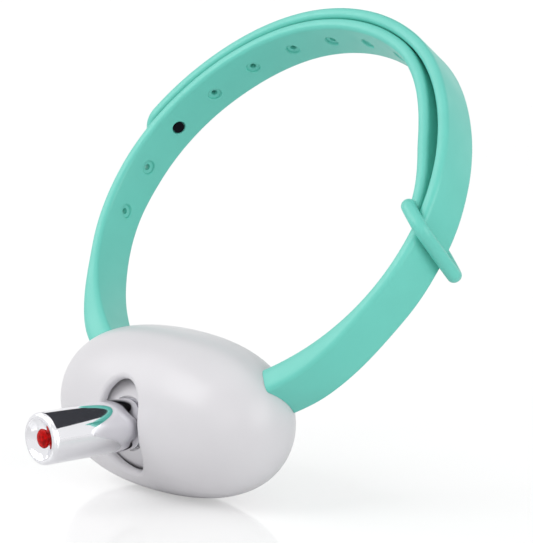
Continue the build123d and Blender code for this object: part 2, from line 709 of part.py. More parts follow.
def sector_gear():
    """Toothed sector seated on the cradle's left journal."""
    place = across_x(GEAR_START, 0, -PIVOT_DROP, PINION_BEARING)
    keep = extrude(wedge(SECTOR_PITCH_RADIUS + TOOTH_HEIGHT, SECTOR_HALF_ANGLE), GEAR_WIDTH)
    sector = place * (gear(SECTOR_TEETH, GEAR_WIDTH) & keep)
    sector += rod_x(HUB_RADIUS, GEAR_START, GEAR_START + GEAR_WIDTH, 0, -PIVOT_DROP)
    return sector - rod_x(JOURNAL_RADIUS + SEAT / 2, -BEARING_END, 0, 0, -PIVOT_DROP)


def drive_pinion():
    """Brass pinion on its shaft, in mesh with the sector."""
    place = across_x(GEAR_START, PINION_Y, PINION_Z, PINION_BEARING + 180 + 180 / PINION_TEETH)
    width = GEAR_WIDTH - LOOSE
    shaft = rod_x(SHAFT_RADIUS, MOTOR_FACE - SHAFT_DEPTH, GEAR_START + width, PINION_Y, PINION_Z)
    return place * gear(PINION_TEETH, width) + shaft


def gear_motor():
    """Small motor with its gearbox, bored for the pinion's shaft."""
    step = MOTOR_FACE - GEARBOX_LENGTH
    body = rod_x(GEARBOX_RADIUS, step, MOTOR_FACE, PINION_Y, PINION_Z)
    body += rod_x(MOTOR_RADIUS, step - MOTOR_LENGTH, step, PINION_Y, PINION_Z)
    bore_end = MOTOR_FACE - SHAFT_DEPTH - SEAT
    return body - rod_x(SHAFT_RADIUS + RUNNING, bore_end, MOTOR_FACE, PINION_Y, PINION_Z)


def motor_bracket():
    """Open clip round the gearbox, on a foot that stands on the bottom wall."""
    x_high = -BEARING_END - LOOSE
    x_low = x_high - BRACKET_WIDTH
    clip = rod_x(GEARBOX_RADIUS + SEAT + BRACKET_WALL, x_low, x_high, PINION_Y, PINION_Z)
    foot_low = (x_low, PINION_Y - BRACKET_FOOT / 2, -HOUSING_HEIGHT / 2)
    clip += box_between(foot_low, (x_high, PINION_Y + BRACKET_FOOT / 2, PINION_Z))
    clip &= egg(HOUSING_WALL + SEAT)
    clip &= box_between((-FAR, -FAR, -FAR), (FAR, FRONT_END, FAR))
    return clip - rod_x(GEARBOX_RADIUS + SEAT, -FAR, FAR, PINION_Y, PINION_Z)


def circuit_board():
    """Main board on the back cover's posts."""
    low = (BOARD_LEFT, BOARD_FRONT, -BOARD_HALF_HEIGHT)
    board = box_between(low, (BOARD_RIGHT, BOARD_BACK, BOARD_HALF_HEIGHT))
    board = fillet(board.edges().filter_by(Axis.Y), BOARD_CORNER_RADIUS)
    for x in BOARD_SCREWS_X:
        board -= rod_y(BOARD_SCREW_RADIUS + SEAT, BOARD_FRONT, BOARD_BACK, x, 0)
    return board


def board_screws():
    """Screws through the board into the cover's posts."""
    screws = []
    end = BOARD_BACK + BOARD_SCREW_DEPTH
    for x in BOARD_SCREWS_X:
        head = rod_y(BOARD_SCREW_HEAD_RADIUS, BOARD_FRONT - BOARD_SCREW_HEAD_HEIGHT, BOARD_FRONT, x, 0)
        screws.append(head + rod_y(BOARD_SCREW_RADIUS - SEAT, BOARD_FRONT, end, x, 0))
    return screws


def controller_chip():
    """Controller on the board's front face."""
    return Pos(CHIP_X, BOARD_FRONT - CHIP_HEIGHT / 2, 0) * Box(CHIP_SIZE, CHIP_HEIGHT, CHIP_SIZE)


def charge_socket():
    """Charging socket with its tongue, facing straight back."""
    back = BOARD_BACK + SOCKET_DEPTH
    place = Pos(SOCKET_X, (BOARD_BACK + back) / 2, SOCKET_Z)
    shell = place * Box(SOCKET_WIDTH, SOCKET_DEPTH, SOCKET_HEIGHT)
    shell = fillet(shell.edges().filter_by(Axis.Y), SOCKET_ROUNDING)
    opening = (SOCKET_WIDTH - 2 * SOCKET_WALL, SOCKET_DEPTH, SOCKET_HEIGHT - 2 * SOCKET_WALL)
    cavity = place * Pos(0, 2 * SOCKET_WALL, 0) * Box(*opening)
    cavity = fillet(cavity.edges().filter_by(Axis.Y), SOCKET_ROUNDING - SOCKET_WALL)
    bar = place * Box(SOCKET_TONGUE_WIDTH, SOCKET_DEPTH - 2 * SOCKET_WALL, SOCKET_TONGUE_HEIGHT)
    return shell - cavity + bar


def power_switch():
    """Push switch on the board, under the power button."""
    body = Pos(BUTTON_X, BOARD_BACK + SWITCH_HEIGHT / 2, BUTTON_Z)
    body *= Box(SWITCH_SIZE, SWITCH_HEIGHT, SWITCH_SIZE)
    return body + rod_y(PLUNGER_RADIUS, BOARD_BACK, SWITCH_BACK, BUTTON_X, BUTTON_Z)


def power_button():
    """Push button in the back cover, with an inner flange that keeps it in."""
    front = SWITCH_BACK + BUTTON_TRAVEL + HALVES_GAP
    stem = rod_y(BUTTON_RADIUS - SEAT, front, BUTTON_TOP, BUTTON_X, BUTTON_Z)
    rim = stem.edges().filter_by(GeomType.CIRCLE).sort_by(Axis.Y)[-1:]
    stem = fillet(rim, BUTTON_ROUNDING)
    flange_back = front + FLANGE_THICKNESS
    return stem + rod_y(BUTTON_RADIUS + FLANGE_WIDTH, front, flange_back, BUTTON_X, BUTTON_Z)


def battery_cell():
    """Rechargeable cell beside the right bearing."""
    x_low = BEARING_END + LOOSE
    low = (x_low, BATTERY_FRONT, -BATTERY_HEIGHT / 2)
    high = (x_low + BATTERY_WIDTH, BATTERY_FRONT + BATTERY_DEPTH, BATTERY_HEIGHT / 2)
    cell = box_between(low, high)
    return fillet(cell.edges().filter_by(Axis.Z), BATTERY_ROUNDING)


def solids_of(piece):
    """All solids of a piece, or of a list of alike pieces."""
    shapes = piece if isinstance(piece, list) else [piece]
    return [solid for shape in shapes for solid in shape.solids()]


def write_parts(pieces):
    """Moves the toy so that its origin is under its middle, and writes each piece."""
    box = Compound([solid for piece in pieces.values() for solid in solids_of(piece)]).bounding_box()
    shift = Pos(-box.center().X, -box.center().Y, -box.min.Z)
    os.makedirs("parts", exist_ok=True)
    for name, piece in pieces.items():
        export_step(Compound([shift * solid for solid in solids_of(piece)]), f"parts/{name}.step")
    print("origin moved by", [round(v, 4) for v in shift.position])
    print("size", [round(v, 2) for v in box.size])


def main():
    pieces = {
        "housing_front": housing_front(),
        "housing_back": housing_back(),
        "housing_screws": housing_screws(),
        "strap_inner": strap_inner(),
        "strap_outer": strap_outer(),
        "snap_stud": snap_stud(),
        "snap_cap": snap_cap(),
        "swivel_cradle": swivel_cradle(),
        "journal_caps": journal_caps(),
        "laser_barrel": laser_barrel(),
        "laser_lens": laser_lens(),
        "laser_module": laser_module(),
        "laser_driver": laser_driver(),
        "sector_gear": sector_gear(),
        "drive_pinion": drive_pinion(),
        "gear_motor": gear_motor(),
        "motor_bracket": motor_bracket(),
        "circuit_board": circuit_board(),
        "board_screws": board_screws(),
        "controller_chip": controller_chip(),
        "charge_socket": charge_socket(),
        "power_switch": power_switch(),
        "power_button": power_button(),
        "battery_cell": battery_cell(),
    }
    write_parts(pieces)


main()
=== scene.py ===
import json
import math

import bmesh
import bpy
from bpy.props import FloatProperty, FloatVectorProperty, IntProperty, PointerProperty
from bpy.types import Operator, Panel, PropertyGroup
from mathutils import Matrix, Vector


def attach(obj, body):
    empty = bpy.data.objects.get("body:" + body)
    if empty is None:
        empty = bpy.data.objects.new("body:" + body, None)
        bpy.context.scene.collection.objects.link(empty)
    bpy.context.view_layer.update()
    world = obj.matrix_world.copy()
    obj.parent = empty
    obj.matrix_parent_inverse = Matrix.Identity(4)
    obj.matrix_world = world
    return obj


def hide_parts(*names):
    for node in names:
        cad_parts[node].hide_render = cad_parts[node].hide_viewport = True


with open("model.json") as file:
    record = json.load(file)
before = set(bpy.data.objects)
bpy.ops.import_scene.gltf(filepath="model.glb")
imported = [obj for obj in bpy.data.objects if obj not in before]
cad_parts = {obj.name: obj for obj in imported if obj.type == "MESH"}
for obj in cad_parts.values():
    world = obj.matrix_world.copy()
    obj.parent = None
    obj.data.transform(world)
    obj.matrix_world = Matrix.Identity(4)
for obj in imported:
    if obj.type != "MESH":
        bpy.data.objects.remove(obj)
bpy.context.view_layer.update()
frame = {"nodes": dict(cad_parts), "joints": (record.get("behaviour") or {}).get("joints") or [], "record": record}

bl_info = {
    "name": "Laser Neck Toy",
    "version": (1, 0, 0),
    "blender": (4, 5, 0),
    "location": "3D View > Sidebar > Laser Toy",
    "description": "Dresses a pet's laser toy: silicone strap, plated barrel, red lens, "
                   "moulded housing and its stage",
    "category": "Add Mesh",
}

SWING = next(joint for joint in frame["joints"] if joint["name"] == "laser_swing")
PIVOT_DROP = 0.001
CENTRE = Vector(SWING["pos_m"]) + Vector((0, 0, PIVOT_DROP))
MM = 1000.0
WELD_DISTANCE = 0.0005


# Sizes and colours

class HousingSizes(PropertyGroup):
    """Sizes of the egg-shaped housing"""
    length: FloatProperty(
        name="Length", description="Length of the housing from end to end",
        default=0.0548, min=0.01, unit="LENGTH")
    height: FloatProperty(
        name="Height", description="Height of the housing",
        default=0.0304, min=0.01, unit="LENGTH")
    depth: FloatProperty(
        name="Depth", description="Depth of the housing from front to back",
        default=0.0274, min=0.01, unit="LENGTH")
    fullness: FloatProperty(
        name="Fullness", description="How full the egg's outline is between its ends and its middle",
        default=0.667, min=0.5, max=0.9, subtype="FACTOR")


class StrapSizes(PropertyGroup):
    """Sizes of the two strap bands and the keeper ring"""
    loop_width: FloatProperty(
        name="Loop Half Width", description="Half of the neck loop's width",
        default=0.0401, min=0.01, unit="LENGTH")
    loop_height: FloatProperty(
        name="Loop Half Height", description="Half of the neck loop's height",
        default=0.037, min=0.01, unit="LENGTH")
    rise: FloatProperty(
        name="Loop Rise", description="Distance from the housing's centre to the loop's centre",
        default=0.0422, min=0.01, unit="LENGTH")
    lean: FloatProperty(
        name="Loop Lean", description="How far the loop leans back from upright",
        default=math.radians(33.7), subtype="ANGLE", unit="ROTATION")
    width: FloatProperty(
        name="Width", description="Width of both bands",
        default=0.0095, min=0.002, unit="LENGTH")
    thickness: FloatProperty(
        name="Thickness", description="Thickness of both bands away from their roots",
        default=0.00235, min=0.0005, unit="LENGTH")
    root_thickness: FloatProperty(
        name="Root Thickness", description="Thickness of both bands at the housing",
        default=0.0052, min=0.0005, unit="LENGTH")
    edge_radius: FloatProperty(
        name="Edge Radius", description="Rounding of the bands' long edges",
        default=0.00095, min=0.0001, unit="LENGTH")
    layer_gap: FloatProperty(
        name="Layer Gap", description="Gap between the two bands",
        default=0.00015, min=0.00005, unit="LENGTH")
    hole_pitch: FloatProperty(
        name="Hole Pitch", description="Distance from one size hole to the next",
        default=0.01, min=0.003, unit="LENGTH")
    hole_count: IntProperty(
        name="Hole Count", description="Number of size holes in the inner band",
        default=11, min=1, max=20)
    ring_width: FloatProperty(
        name="Ring Half Width", description="Half of the keeper ring's section along the strap",
        default=0.0013, min=0.0005, unit="LENGTH")
    ring_thickness: FloatProperty(
        name="Ring Half Thickness", description="Half of the keeper ring's section away from the strap",
        default=0.0011, min=0.0005, unit="LENGTH")


class LaserSizes(PropertyGroup):
    """Sizes of the plated barrel and its lens"""
    radius: FloatProperty(
        name="Radius", description="Outside radius of the barrel",
        default=0.0047, min=0.001, unit="LENGTH")
    reach: FloatProperty(
        name="Reach", description="Distance from the pivot to the barrel's front end",
        default=0.031, min=0.005, unit="LENGTH")
    tail: FloatProperty(
        name="Tail", description="Distance from the pivot to the barrel's rear end",
        default=0.0046, min=0.001, unit="LENGTH")
    wall: FloatProperty(
        name="Wall", description="Thickness of the barrel's wall",
        default=0.0006, min=0.0002, unit="LENGTH")
    rim: FloatProperty(
        name="Rim Radius", description="Rounding of the barrel's front rim",
        default=0.0009, min=0.0001, unit="LENGTH")
    dish: FloatProperty(
        name="Dish Radius", description="Radius of the dished front face",
        default=0.00375, min=0.001, unit="LENGTH")
    dish_depth: FloatProperty(
        name="Dish Depth", description="Depth of the dished front face at the lens",
        default=0.0009, min=0.0002, unit="LENGTH")
    lens: FloatProperty(
        name="Lens Radius", description="Radius of the red lens",
        default=0.00175, min=0.0005, unit="LENGTH")


class ToyColours(PropertyGroup):
    """Colours of the toy's finishes"""
    shell: FloatVectorProperty(
        name="Shell", description="White moulded plastic of the housing",
        default=(0.70, 0.69, 0.715), min=0, max=1, subtype="COLOR")
    silicone: FloatVectorProperty(
        name="Silicone", description="Mint silicone of the strap",
        default=(0.145, 0.62, 0.525), min=0, max=1, subtype="COLOR")
    plating: FloatVectorProperty(
        name="Plating", description="Bright plating of the laser barrel",
        default=(0.84, 0.84, 0.87), min=0, max=1, subtype="COLOR")
    lens: FloatVectorProperty(
        name="Lens", description="Red glass of the lens",
        default=(0.62, 0.003, 0.003), min=0, max=1, subtype="COLOR")
    snap: FloatVectorProperty(
        name="Snap", description="Black plastic of the snap stud",
        default=(0.004, 0.005, 0.008), min=0, max=1, subtype="COLOR")


# Course of the strap, in millimetres and in degrees round the loop's centre

# A bend is its depth, the angle where it is deepest or starts, and the angle that it takes
SHOULDER = (0.4, 138.0, 36.0)
TUCK = (2.6, 62.0, 42.0)
RETURN = (1.5, 24.0, 24.0)
EASE = (0.7, 60.0, 40.0)
LANDING = (0.4, -20.0, 30.0)
ROOT_SPAN = (20.0, 50.0)
STUD_ANGLE = 157.5
HOLES_BEFORE_STUD = 2
TIP_REACH = 5.2
RING_ANGLE = -2.5
RING_RISE = 2.0
RING_FALL_OUT = 0.77
RING_RISE_FRONT = 0.23
RING_SET_IN = 1.2
RING_SNUG = 0.1
RING_SLACK = 1.85
RING_CORNER = 2.2
RING_CORNER_STEPS = 8
RING_SEGMENTS = 28
COURSE_STEP = 1.5
SLOPE_STEP = 0.5
WALK_STEP = 0.1
ROOT_SEARCH_STEP = 0.25
ROOT_SEARCH_END = 300
ROOT_CLEARANCE = 0.05
ROOT_SINK = 7.0
TIP_STEPS = 14
TIP_LAST_SHARE = 0.999
END_CUTTER_SIZE = 30.0

# A twist is (angle round the loop, turn of the band) from knot to knot
INNER_TWIST = ((-2.5, 0.0), (40.0, 2.2), (132.0, 2.2), (150.0, 0.0),
               (172.0, 0.0), (186.0, -2.5), (206.0, 0.0))
OUTER_TWIST = ((-22.0, 0.0), (-2.0, 3.0), (14.0, 4.6), (32.0, 4.2),
               (56.0, 2.2), (70.0, 2.2), (132.0, 2.2), (150.0, 0.0))


# Tongues, boss and size holes, in millimetres

TONGUE_WIDTH = 6.0
TONGUE_THICKNESS = 2.4
TONGUE_SINK = 4.0
TONGUE_ROUNDING = 0.2
ANCHOR_RADIUS = 1.6
ANCHOR_LENGTH = 7.2
ANCHOR_DEPTH = 4.6
BOSS_RADIUS = 3.2
BOSS_HEIGHT = 0.8
BOSS_SINK = 0.8
CAP_SEAT_RADIUS = 2.3
CAP_SEAT_HEIGHT = 0.05
HOLE_RADIUS = 0.6
HOLE_EXIT_RADIUS = 0.75
HOLE_EXIT_START = 0.1
HOLE_EXIT_RISE = 0.05
HOLE_STEPS = 40
COUNTERBORE_RADIUS = 1.3
COUNTERBORE_DEPTH = 0.5
MOUTH_RADIUS = 1.5
MOUTH_START = -0.02
MOUTH_END = 0.18
CUT_OVERRUN = 0.6

# Roundings are the corner's number in its profile with (radius, segments)
BOSS_ROUNDINGS = {2: (0.3, 4), 3: (0.15, 3)}
HOLE_ROUNDINGS = {3: (0.12, 3), 4: (0.08, 2), 5: (0.1, 2)}
ANCHOR_ROUNDINGS = {1: (TONGUE_ROUNDING, 3), 2: (TONGUE_ROUNDING, 3)}


# Barrel and lens, in millimetres

TAIL_ROUNDING = (0.1, 3)
DISH_EDGE_ROUNDING = (0.08, 3)
RIM_SEGMENTS = 10
BARREL_STEPS = 128
DISH_HOLLOW = 0.3
DISH_STEPS = 12
LENS_THICKNESS = 1.0
LENS_CLEARANCE = 0.05
LENS_LIFT = 0.02
LENS_DOME = 0.5
DOME_STEPS = 10


# Stage: the camera's own directions, and sizes in metres

BACK = Vector((0.7355, -0.6622, 0.1431))
RIGHT = Vector((0.6691, 0.7431, 0.0))
UP = Vector((-0.1063, 0.0957, 0.9896))
ABOVE = Vector((0, 0, 1))
CAMERA_LENS = 161.43
CAMERA_BACK_MM = 445.834
CAMERA_RIGHT_MM = 16.710
CAMERA_UP_MM = 25.363
FLOOR_HALF_SIZE = 6.0
FLOOR_GLOW = 1.4
FLOOR_GLOW_SHARE = 0.3
CARD_SIZE = (1.4, 0.45, 1.0)
CARD_TILT = math.radians(-8.8)
CARD_PLACE = Vector((-0.098, 0.40, 0.633))
SOFT_WORLD = 0.45
WHITE_WORLD = 1.0
LIGHT_AIM = Vector((0, 0.012, 0.025))

# A light is its name, its direction to the right, back and above, its distance, size and power
LIGHTS = (
    ("key", (-0.75, 0.3, 0.57), 1.1, 0.6, 4.2),
    ("side", (-0.78, -0.25, 0.56), 1.1, 0.6, 2.0),
    ("fill", (1.0, 0.8, 0.25), 1.3, 0.9, 6.6),
    ("front", (-0.2, 1.0, 0.1), 1.3, 0.9, 2.0),
    ("top", (0.0, 0.15, 1.0), 1.2, 0.9, 1.0),
)


def smooth_step(value):
    """Rises from 0 to 1 with a level start and end."""
    share = min(max(value, 0.0), 1.0)
    return share * share * (3 - 2 * share)


def eased_between(knots, angle):
    """Value at an angle, eased from each (angle, value) knot to the next."""
    value = knots[0][1]
    for (start, low), (end, high) in zip(knots, knots[1:]):
        if angle > start:
            value = low + (high - low) * smooth_step((angle - start) / (end - start))
    return value


class Course:
    """The way the two bands take round the neck loop; angle 0 is the right side, 90 the top."""

    def __init__(self, sizes):
        self.half_width = sizes.loop_width * MM
        self.half_height = sizes.loop_height * MM
        self.width = sizes.width * MM
        self.thin = sizes.thickness * MM
        self.thick = sizes.root_thickness * MM
        self.gap = sizes.layer_gap * MM
        lean, rise = sizes.lean, sizes.rise * MM
        side = Vector((1, 0, 0))
        up = Vector((0, math.sin(lean), math.cos(lean)))
        front = Vector((0, -math.cos(lean), math.sin(lean)))
        self.plane = Matrix((side, up, front)).transposed().to_4x4()
        self.plane.translation = up * rise

    def inner(self, angle):
        """Neck side of the inner band, which tucks inward and returns at the keeper ring."""
        radius = self.radius(angle)
        for sign, (depth, start, spread) in ((-1, TUCK), (1, RETURN)):
            radius += sign * depth * smooth_step((start - angle) / spread)
        return radius

    def outer(self, angle):
        """Neck side of the outer band."""
        radius = self.radius(angle) + self.thin + self.gap
        for depth, start, spread in (EASE, LANDING):
            radius -= depth * smooth_step((start - angle) / spread)
        return radius

    def radius(self, angle):
        """Distance from the loop's centre to the neck side, flattened at the left shoulder."""
        turn = math.radians(angle)
        reach = math.hypot(self.half_height * math.cos(turn), self.half_width * math.sin(turn))
        depth, middle, spread = SHOULDER
        flattened = depth * smooth_step(1 - abs(angle - middle) / spread)
        return self.half_width * self.half_height / reach - flattened

    def thickness(self, angle):
        """Thickness of a band, which grows towards its root."""
        below = -angle if angle < 90 else angle - 180
        start, full = ROOT_SPAN
        return self.thin + (self.thick - self.thin) * smooth_step((below - start) / (full - start))

    def point(self, radius_at, angle, lift=0.0):
        """Point in the loop's plane and the direction of the band's outward normal there."""
        turn = math.radians(angle)
        radius = radius_at(angle)
        growth = radius_at(angle + SLOPE_STEP) - radius_at(angle - SLOPE_STEP)
        slope = growth / math.radians(2 * SLOPE_STEP)
        normal = turn + math.atan2(-slope, radius)
        outward = Vector((math.cos(normal), math.sin(normal), 0))
        return Vector((radius * math.cos(turn), radius * math.sin(turn), 0)) + lift * outward, outward

    def twist(self, radius_at, angle):
        """Turn of the soft strap about its front outer edge, which draws its back edge in."""
        knots = INNER_TWIST if radius_at == self.inner else OUTER_TWIST
        turn = eased_between(knots, angle)
        layers = 2 if radius_at == self.inner and turn > 0 else 1
        edge = Matrix.Translation((self.width / 2, 0, layers * self.thin + (layers - 1) * self.gap))
        return edge @ Matrix.Rotation(math.radians(-turn), 4, "Y") @ edge.inverted()

    def place(self, radius_at, angle, lift=0.0):
        """Place on a band: X across the strap, Z outward."""
        spot, outward = self.point(radius_at, angle)
        across = Vector((0, 0, 1))
        matrix = Matrix((across, outward.cross(across), outward)).transposed().to_4x4()
        matrix.translation = spot
        return self.plane @ matrix @ self.twist(radius_at, angle) @ Matrix.Translation((0, 0, lift))

    def tongue_place(self, radius_at, side, egg):
        """Place where a root enters the housing: X inward along the band, Y through it."""
        angle = self.root(radius_at, side, egg)
        spot = self.point(radius_at, angle, self.thickness(angle) / 2)[0]
        ahead = self.point(radius_at, angle - side, self.thickness(angle) / 2)[0] - spot
        turn = math.atan2(ahead.y, ahead.x)
        return self.plane @ Matrix.Translation(spot) @ Matrix.Rotation(turn, 4, "Z")

    def angle_after(self, radius_at, start, distance):
        """Angle reached by going a signed distance along a band."""
        angle, left = start, abs(distance)
        step = math.copysign(WALK_STEP, distance)
        here = self.point(radius_at, angle)[0]
        while left > 0:
            there = self.point(radius_at, angle + step)[0]
            left -= (there - here).length
            angle, here = angle + step, there
        return angle

    def root(self, radius_at, side, egg):
        """Angle at which a band's middle line enters the housing."""
        angle = -ROOT_SPAN[0] if side > 0 else 180 + ROOT_SPAN[0]
        while abs(angle) < ROOT_SEARCH_END:
            spot = self.place(radius_at, angle, self.thickness(angle) / 2).translation
            if egg.holds(spot):
                break
            angle -= side * ROOT_SEARCH_STEP
        return angle


class Egg:
    """Outline of the housing, a given distance inside its outside."""

    halvings = 30

    def __init__(self, sizes, inset=0.0):
        self.long = sizes.length * MM / 2 - inset
        self.high = sizes.height * MM / 2 - inset
        self.deep = sizes.depth * MM / 2 - inset
        self.full = sizes.fullness

    def profile(self, t):
        """Point of the outline at t, from the right end at 0 to the top at 1."""
        s = 1 - t
        along = s ** 3 + 3 * s * s * t + 3 * s * t * t * self.full
        across = 3 * s * s * t * self.full + 3 * s * t * t + t ** 3
        return along * self.long, across * self.high

    def holds(self, spot):
        """Whether a point lies inside."""
        share = abs(spot.x) / self.long
        if share >= 1:
            return False
        low, high = 0.0, 1.0
        for _ in range(self.halvings):
            middle = (low + high) / 2
            if self.profile(middle)[0] / self.long > share:
                low = middle
            else:
                high = middle
        return math.hypot(spot.y * self.high / self.deep, spot.z) < self.profile(low)[1]

    def mesh(self, rows=48, columns=96):
        """The egg as a closed bmesh."""
        bm = bmesh.new()
        points = [self.profile(i / rows) for i in range(rows + 1)]
        chain = points + [(-x, z) for x, z in points[-2::-1]]
        profile = [bm.verts.new((x, 0, z)) for x, z in chain]
        edges = [bm.edges.new(pair) for pair in zip(profile, profile[1:])]
        bmesh.ops.spin(bm, geom=profile + edges, cent=(0, 0, 0), axis=(1, 0, 0),
                       angle=2 * math.pi, steps=columns, use_merge=True)
        bmesh.ops.scale(bm, vec=(1, self.deep / self.high, 1), verts=bm.verts)
        bmesh.ops.remove_doubles(bm, verts=bm.verts, dist=WELD_DISTANCE)
        bmesh.ops.recalc_face_normals(bm, faces=bm.faces)
        return bm


# Mesh helpers

def to_object(name, bm):
    """Object of a bmesh, with the bmesh freed."""
    mesh = bpy.data.meshes.new(name)
    bm.to_mesh(mesh)
    bm.free()
    obj = bpy.data.objects.new(name, mesh)
    bpy.context.scene.collection.objects.link(obj)
    return obj


def combine(obj, tool, operation):
    """Adds or cuts a closed mesh exactly and removes it."""
    change = obj.modifiers.new("combine", "BOOLEAN")
    change.operation = operation
    change.solver = "EXACT"
    change.object = tool
    graph = bpy.context.evaluated_depsgraph_get()
    mesh = bpy.data.meshes.new_from_object(obj.evaluated_get(graph))
    obj.modifiers.clear()
    old = obj.data
    obj.data = mesh
    bpy.data.meshes.remove(old)
    bpy.data.objects.remove(tool)


def finish_piece(obj, body, slot, sharp=35.0):
    """Scales a millimetre mesh to its place, shades it smooth, and gives it its body and its finish."""
    obj.data.transform(Matrix.Translation(CENTRE) @ Matrix.Scale(1 / MM, 4))
    for face in obj.data.polygons:
        face.use_smooth = True
    obj.data.set_sharp_from_angle(angle=math.radians(sharp))
    obj.data.materials.clear()
    obj.data.materials.append(toy_finish(slot))
    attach(obj, body)


def sweep(bm, ring, places, closed=False):
    """Extrudes a ring of edges from its first place through the others."""
    first = list(ring)
    here = places[0]
    for there in places[1:]:
        made = bmesh.ops.extrude_edge_only(bm, edges=ring)["geom"]
        verts = [item for item in made if isinstance(item, bmesh.types.BMVert)]
        ring = [item for item in made if isinstance(item, bmesh.types.BMEdge)]
        ring = [edge for edge in ring if all(vert in verts for vert in edge.verts)]
        bmesh.ops.transform(bm, matrix=there @ here.inverted(), verts=verts)
        here = there
    if closed:
        bmesh.ops.bridge_loops(bm, edges=first + ring)
    else:
        bmesh.ops.contextual_create(bm, geom=first)
        bmesh.ops.contextual_create(bm, geom=ring)
    bmesh.ops.recalc_face_normals(bm, faces=bm.faces)


def rounded_section(bm, width, thickness, radius, segments=5):
    """Ring of a rounded rectangle, X across and Z from 0 to its thickness."""
    made = bmesh.ops.create_grid(bm, x_segments=1, y_segments=1, size=0.5)["verts"]
    bmesh.ops.scale(bm, vec=(width, thickness, 1), verts=made)
    bmesh.ops.bevel(bm, geom=made, offset=radius, segments=segments, profile=0.5,
                    affect="VERTICES", material=-1)
    bmesh.ops.delete(bm, geom=bm.faces[:], context="FACES_ONLY")
    bmesh.ops.rotate(bm, verts=bm.verts, matrix=Matrix.Rotation(math.pi / 2, 3, "X"))
    bmesh.ops.translate(bm, verts=bm.verts, vec=(0, 0, thickness / 2))
    return bm.edges[:]


def spun(points, roundings, steps=64, closed=False):
    """Turned solid about Z from (radius, height) points, with some corners rounded."""
    bm = bmesh.new()
    verts = [bm.verts.new((radius, 0, height)) for radius, height in points]
    for pair in zip(verts, verts[1:]):
        bm.edges.new(pair)
    if closed:
        bm.edges.new((verts[-1], verts[0]))
    for index, (offset, segments) in roundings.items():
        bmesh.ops.bevel(bm, geom=[verts[index]], offset=offset, segments=segments, profile=0.5,
                        affect="VERTICES", offset_type="OFFSET", material=-1)
    bmesh.ops.spin(bm, geom=bm.verts[:] + bm.edges[:], cent=(0, 0, 0), axis=(0, 0, 1),
                   angle=2 * math.pi, steps=steps, use_merge=True)
    bmesh.ops.remove_doubles(bm, verts=bm.verts, dist=WELD_DISTANCE)
    bmesh.ops.recalc_face_normals(bm, faces=bm.faces)
    return bm


# Shader helpers

def socket_group(name, inputs, outputs):
    """Empty node group with the given sockets, and its input and output nodes."""
    group = bpy.data.node_groups.new(name, "ShaderNodeTree")
    for label, kind, value in inputs:
        socket = group.interface.new_socket(name=label, in_out="INPUT", socket_type=kind)
        if value is not None:
            socket.default_value = value
    for label, kind in outputs:
        group.interface.new_socket(name=label, in_out="OUTPUT", socket_type=kind)
    return group, group.nodes.new("NodeGroupInput"), group.nodes.new("NodeGroupOutput")


def grain_group():
    """Fine moulded grain: a normal from noise."""
    group = bpy.data.node_groups.get("moulded_grain")
    if group:
        return group
    group, given, result = socket_group(
        "moulded_grain",
        [("Vector", "NodeSocketVector", None), ("Scale", "NodeSocketFloat", 2000.0),
         ("Strength", "NodeSocketFloat", 0.1), ("Distance", "NodeSocketFloat", 0.0001)],
        [("Normal", "NodeSocketVector")])
    fine = group.nodes.new("ShaderNodeTexNoise")
    fine.inputs["Detail"].default_value = 3.0
    bump = group.nodes.new("ShaderNodeBump")
    group.links.new(given.outputs["Vector"], fine.inputs["Vector"])
    group.links.new(given.outputs["Scale"], fine.inputs["Scale"])
    group.links.new(given.outputs["Strength"], bump.inputs["Strength"])
    group.links.new(given.outputs["Distance"], bump.inputs["Distance"])
    group.links.new(fine.outputs["Fac"], bump.inputs["Height"])
    group.links.new(bump.outputs["Normal"], result.inputs["Normal"])
    return group


def drift_group():
    """Slow drift of a colour and a roughness over a surface."""
    group = bpy.data.node_groups.get("surface_drift")
    if group:
        return group
    group, given, result = socket_group(
        "surface_drift",
        [("Vector", "NodeSocketVector", None), ("Scale", "NodeSocketFloat", 80.0),
         ("Light", "NodeSocketColor", (0.8, 0.8, 0.8, 1)), ("Dark", "NodeSocketColor", (0.7, 0.7, 0.7, 1)),
         ("Smooth", "NodeSocketFloat", 0.3), ("Rough", "NodeSocketFloat", 0.4)],
        [("Color", "NodeSocketColor"), ("Roughness", "NodeSocketFloat")])
    noise = group.nodes.new("ShaderNodeTexNoise")
    noise.inputs["Detail"].default_value = 4.0
    ramp = group.nodes.new("ShaderNodeMapRange")
    ramp.inputs["From Min"].default_value = 0.35
    ramp.inputs["From Max"].default_value = 0.65
    colour = group.nodes.new("ShaderNodeMix")
    colour.data_type = "RGBA"
    rough = group.nodes.new("ShaderNodeMix")
    group.links.new(given.outputs["Vector"], noise.inputs["Vector"])
    group.links.new(given.outputs["Scale"], noise.inputs["Scale"])
    group.links.new(noise.outputs["Fac"], ramp.inputs["Value"])
    group.links.new(ramp.outputs["Result"], colour.inputs["Factor"])
    group.links.new(given.outputs["Light"], colour.inputs[6])
    group.links.new(given.outputs["Dark"], colour.inputs[7])
    group.links.new(ramp.outputs["Result"], rough.inputs["Factor"])
    group.links.new(given.outputs["Smooth"], rough.inputs[2])
    group.links.new(given.outputs["Rough"], rough.inputs[3])
    group.links.new(colour.outputs[2], result.inputs["Color"])
    group.links.new(rough.outputs[0], result.inputs["Roughness"])
    return group


